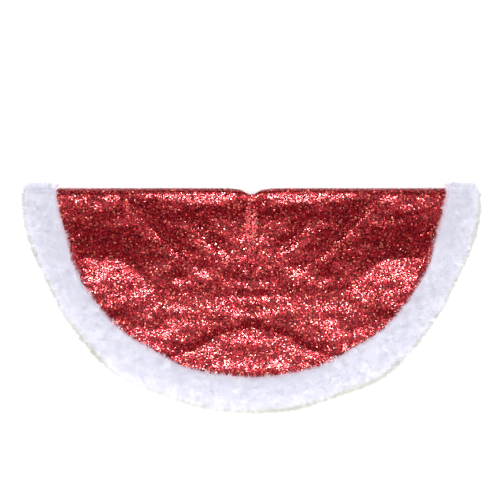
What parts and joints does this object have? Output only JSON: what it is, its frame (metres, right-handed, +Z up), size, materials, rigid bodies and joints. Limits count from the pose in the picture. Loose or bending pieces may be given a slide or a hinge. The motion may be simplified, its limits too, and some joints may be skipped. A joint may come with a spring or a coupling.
{
  "type": "tree skirt",
  "caption": "Round sequined tree skirt with a plush border, folded in half; its two slit lower quarters swing open about the fold to make a full circle.",
  "frame": {"origin": "centre of the folded skirt's box, on the surface that it lies on", "axes": "+X along the fold to the right, +Y from the curved rim towards the fold, +Z up off the surface"},
  "size_m": [0.508, 0.2538, 0.024],
  "materials": {
    "sequin_cloth": "knit covered in small glossy metallic red sequins",
    "lining_cloth": "plain matt woven polyester",
    "plush": "soft white faux-fur pile about 9 mm long",
    "thread": "matt twisted sewing thread",
    "hook_tape": "moulded hook tape",
    "loop_tape": "brushed loop tape"
  },
  "bodies": {
    "upper_half": {"upper_sequin_panel": "sequin_cloth", "upper_lining": "lining_cloth", "upper_plush_border": "plush", "upper_border_seam": "thread", "upper_hem_seam": "thread", "upper_trunk_hole_seam": "thread"},
    "lower_left_quarter": {"lower_left_sequin_panel": "sequin_cloth", "lower_left_lining": "lining_cloth", "lower_left_plush_border": "plush", "lower_left_border_seam": "thread", "lower_left_hem_seam": "thread", "lower_left_trunk_hole_seam": "thread", "lower_left_slit_seam": "thread", "loop_pad_1": "loop_tape", "loop_pad_2": "loop_tape", "loop_pad_3": "loop_tape"},
    "lower_right_quarter": {"lower_right_sequin_panel": "sequin_cloth", "lower_right_lining": "lining_cloth", "lower_right_plush_border": "plush", "lower_right_border_seam": "thread", "lower_right_hem_seam": "thread", "lower_right_trunk_hole_seam": "thread", "lower_right_slit_seam": "thread", "hook_pad_1": "hook_tape", "hook_pad_2": "hook_tape", "hook_pad_3": "hook_tape"}
  },
  "joints": [
    {"name": "left_fold", "type": "hinge", "parent": "upper_half", "child": "lower_left_quarter", "pos_m": [-0.127, 0.12707, 0.012], "axis": [1, 0, 0], "range_deg": [0, 180]},
    {"name": "right_fold", "type": "hinge", "parent": "upper_half", "child": "lower_right_quarter", "pos_m": [0.127, 0.12707, 0.012], "axis": [1, 0, 0], "range_deg": [0, 180]}
  ]
}
